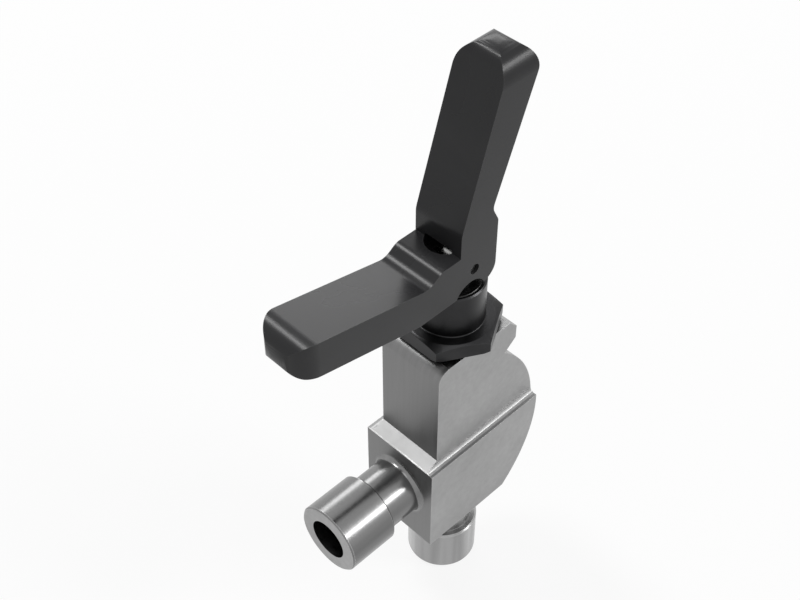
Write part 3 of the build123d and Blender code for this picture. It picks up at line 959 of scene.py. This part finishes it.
side_outline = rounded_outline(
    [
        ((-crook, pin_height + top), 0),
        ((-left_step, pin_height + top), 2.4),
        (beside_pin(left_angle, left_root, -left_outer), 3.0),
        (end_corner(left_angle, left_lift, left_reach, -left_outer), tip_outer),
        (end_corner(left_angle, left_lift, left_reach, inner_tip), tip_inner),
        ((-foot_end, pin_height - foot), 5.0),
        ((heel, pin_height - foot), 3.0),
        ((heel, pin_height + right_step), 1.2),
        (beside_pin(right_angle, right_root, 0), 2.1),
        (end_corner(right_angle, right_lean, right_reach, -right_outer), tip_outer),
        (end_corner(right_angle, right_lean, right_reach, inner_tip), tip_inner),
        ((-crook, pin_height + crook_high), 5.0),
    ]
)
handle = placed("toggle_handle", plate(side_outline, -half_wide, half_wide))


def end_round(reach, turn_y):
    """The block that rounds a paddle's end corners, as a prism square to its end face's level edges."""
    inner, start = half_wide - end_corner_r, reach - end_corner_r
    past_side, past_tip, past_edges = 15.0, 8, 20
    outline = [
        (start, -past_side),
        *arc(start, -inner, end_corner_r, -90, 0, 18),
        *arc(start, inner, end_corner_r, 0, 90, 18),
        (start, past_side),
        (reach + past_tip, past_side),
        (reach + past_tip, -past_side),
    ]
    work = lofted([[(run, across, z) for run, across in outline] for z in (-past_edges, past_edges)])
    work.transform(Matrix.Rotation(math.radians(turn_y), 4, "Y"))
    work.transform(Matrix.Translation((0, 0, pin_height * MM)))
    return closed_mesh(work, "end_round")


machined(handle, cuts=[end_round(left_reach, 180), end_round(right_reach, -90)])
edged(handle, 0.2, 3, 40)

cheek_inner = 2.0
slot_r, slot_half, swing = 3.05, 2.7, 59.0
slot_turn = math.degrees(math.acos(slot_half / slot_r))
arch_x, arch_r, arch_rise = -0.8, 3.6, 2.1
pin_r = 1.0
well_x, well_r, well_floor = -2.0, 3.4, 82.3
past_hub = 7

# The slot's last corners lie outside the hub.
slot_outline = [
    *arc(0, pin_height, slot_r, 180 + slot_turn, swing - slot_turn, 24),
    beside_pin(swing - 90, 12, slot_half),
    beside_pin(swing - 90, 14, 0),
    (10, pin_height - 14),
    (-slot_half, pin_height - 14),
]
arch_axis = (arch_x, 0, pin_height - foot + arch_rise - arch_r)
machined(
    handle,
    cuts=[
        plate(slot_outline, -cheek_inner, cheek_inner),
        drilled(arch_r, -past_hub, past_hub, 96, "Y", arch_axis),
        drilled(pin_r, -past_hub, past_hub, 64, "Y", (0, 0, pin_height)),
        drilled(well_r, well_floor, pin_height + 5, 72, "Z", (well_x, 0, 0)),
    ],
)
evened(handle)

nylon = Finish("black_moulded_nylon", 0.0, 0.27)
flow = nylon.cloud(45, 5.0, 0.6, distortion=0.6)
moulded = nylon.toned(flow, (0.3, (0.014, 0.014, 0.015)), (0.7, (0.022, 0.022, 0.023)))
nylon.coloured(nylon.rubbed(moulded, (0.05, 0.05, 0.051), 0.3, 0.05, 0.4))
nylon.roughened(flow, 0.26, 0.31)
nylon.bumped(nylon.cloud(2800, 3.0, 0.6), 0.004, 0.3)
nylon.shader.inputs["Specular IOR Level"].default_value = 0.22
dressed(handle, nylon, "handle", "handle")

# Cross pin
# A short ground steel pin through both cheeks and the stem's tongue, its ends
# a little below the handle's sides.
pin_inset = 0.6
pin_half = half_wide - pin_inset
pin_section = [
    (0, -pin_half),
    (pin_r - lathe_break, -pin_half),
    (pin_r, -pin_half + lathe_break),
    (pin_r, pin_half - lathe_break),
    (pin_r - lathe_break, pin_half),
    (0, pin_half),
]
cross_pin = smoothed(placed("cross_pin", turned(pin_section, 64, "Y", (0, 0, pin_height))))
pin_steel = Finish("ground_pin_steel", 1.0, 0.35)
pin_tone = pin_steel.cloud(500)
pin_steel.coloured(pin_steel.toned(pin_tone, (0.3, grey(0.22)), (0.7, grey(0.32))))
pin_steel.roughened(pin_tone, 0.28, 0.44)
pin_steel.bumped(pin_steel.cloud(2600, 3.0), 0.004)
dressed(cross_pin, pin_steel, "handle", "handle_pin")

# Studio
# A pale floor under the lower pipe end, which keeps the valve's soft shadow and
# turns white away from it, four soft lamps and an even white surround.
floor_half, floor_drop, floor_tone = 1.5, 0.0002, 0.8
shadow_near, shadow_far = 0.15, 0.7
near_white, far_white = 0.86, 1.0
surround_light, surround_white = 0.4, 1.0
lamp_target = Vector((0, 0, 0.06))
camera_place = Vector((-116.763, -106.270, 228.252)) * MM
camera_bearing, camera_dip, camera_lens = 44.586, 45.103, 59.095


def seen_rays(tree):
    """A factor of 1 for rays from the camera and from metal or glass, and 0 for the rest."""
    rays = tree.nodes.new("ShaderNodeLightPath")
    seen = rays.outputs["Is Camera Ray"]
    for name in ("Is Glossy Ray", "Is Transmission Ray"):
        either = tree.nodes.new("ShaderNodeMath")
        either.operation = "MAXIMUM"
        tree.links.new(seen, either.inputs[0])
        tree.links.new(rays.outputs[name], either.inputs[1])
        seen = either.outputs["Value"]
    return seen


floor = placed("studio_floor", bpy.data.meshes.new("studio_floor"))
work = bmesh.new()
bmesh.ops.create_grid(work, x_segments=1, y_segments=1, size=floor_half)
work.to_mesh(floor.data)
work.free()
floor.data.transform(Matrix.Translation((0, 0, -floor_drop)))
paint = bpy.data.materials.new("studio_white")
paint.use_nodes = True
tree = paint.node_tree
tree.nodes.clear()
out = tree.nodes.new("ShaderNodeOutputMaterial")
matt = tree.nodes.new("ShaderNodeBsdfDiffuse")
matt.inputs["Color"].default_value = (*grey(floor_tone), 1)
white = tree.nodes.new("ShaderNodeEmission")
white.inputs["Color"].default_value = (1, 1, 1, 1)
white.inputs["Strength"].default_value = 1.0
blend_white = tree.nodes.new("ShaderNodeMixShader")
place = tree.nodes.new("ShaderNodeTexCoord")
distance = tree.nodes.new("ShaderNodeVectorMath")
distance.operation = "LENGTH"
tree.links.new(place.outputs["Object"], distance.inputs[0])
whitening = tree.nodes.new("ShaderNodeMapRange")
for socket, number in zip(whitening.inputs[1:5], (shadow_near, shadow_far, near_white, far_white)):
    socket.default_value = number
tree.links.new(distance.outputs["Value"], whitening.inputs["Value"])
share = tree.nodes.new("ShaderNodeMath")
share.operation = "MULTIPLY"
tree.links.new(seen_rays(tree), share.inputs[0])
tree.links.new(whitening.outputs["Result"], share.inputs[1])
tree.links.new(share.outputs["Value"], blend_white.inputs["Fac"])
tree.links.new(matt.outputs["BSDF"], blend_white.inputs[1])
tree.links.new(white.outputs["Emission"], blend_white.inputs[2])
tree.links.new(blend_white.outputs["Shader"], out.inputs["Surface"])
floor.data.materials.append(paint)
floor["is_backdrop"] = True

world = bpy.data.worlds.new("studio_surround")
bpy.context.scene.world = world
world.use_nodes = True
tree = world.node_tree
tree.nodes.clear()
out = tree.nodes.new("ShaderNodeOutputWorld")
sky = tree.nodes.new("ShaderNodeBackground")
sky.inputs["Color"].default_value = (1, 1, 1, 1)
level = tree.nodes.new("ShaderNodeMapRange")
level.inputs["To Min"].default_value = surround_light
level.inputs["To Max"].default_value = surround_white
tree.links.new(seen_rays(tree), level.inputs["Value"])
tree.links.new(level.outputs["Result"], sky.inputs["Strength"])
tree.links.new(sky.outputs["Background"], out.inputs["Surface"])


def soft_lamp(name, bearing, height, wide, high, power):
    """A soft lamp one metre away on a bearing from +X, its sizes in metres and its power in watts."""
    lamp = bpy.data.lights.new(name, "AREA")
    lamp.shape = "RECTANGLE"
    lamp.size, lamp.size_y = wide, high
    lamp.energy = power
    holder = placed(name, lamp)
    turn, rise = math.radians(bearing), math.radians(height)
    away = Vector((math.cos(turn) * math.cos(rise), math.sin(turn) * math.cos(rise), math.sin(rise)))
    holder.location = away + lamp_target
    across = Vector((-math.sin(turn), math.cos(turn), 0))
    holder.rotation_euler = Matrix((across, away.cross(across), away)).transposed().to_euler()


soft_lamp("lamp_above", -112, 74, 0.5, 0.5, 0.8)
soft_lamp("lamp_right", -53, 29, 0.4, 0.2, 4.0)
soft_lamp("lamp_behind", 50, 29, 0.6, 0.3, 2.3)
soft_lamp("lamp_high", 100, 57, 0.24, 0.24, 4.0)

camera = placed("camera", bpy.data.cameras.new("camera"))
camera.data.sensor_width = 36.0
camera.data.lens = camera_lens
turn, tilt = math.radians(camera_bearing), math.radians(camera_dip)
ahead = Vector((math.sin(turn) * math.cos(tilt), math.cos(turn) * math.cos(tilt), -math.sin(tilt)))
right = Vector((math.cos(turn), -math.sin(turn), 0))
axes = Matrix((right, right.cross(ahead), -ahead)).transposed()
camera.matrix_world = Matrix.Translation(camera_place) @ axes.to_4x4()
camera.data.clip_start, camera.data.clip_end = 0.01, 10
bpy.context.scene.camera = camera
bpy.context.scene.view_settings.view_transform = "Standard"

bpy.context.view_layer.update()
low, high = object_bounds()
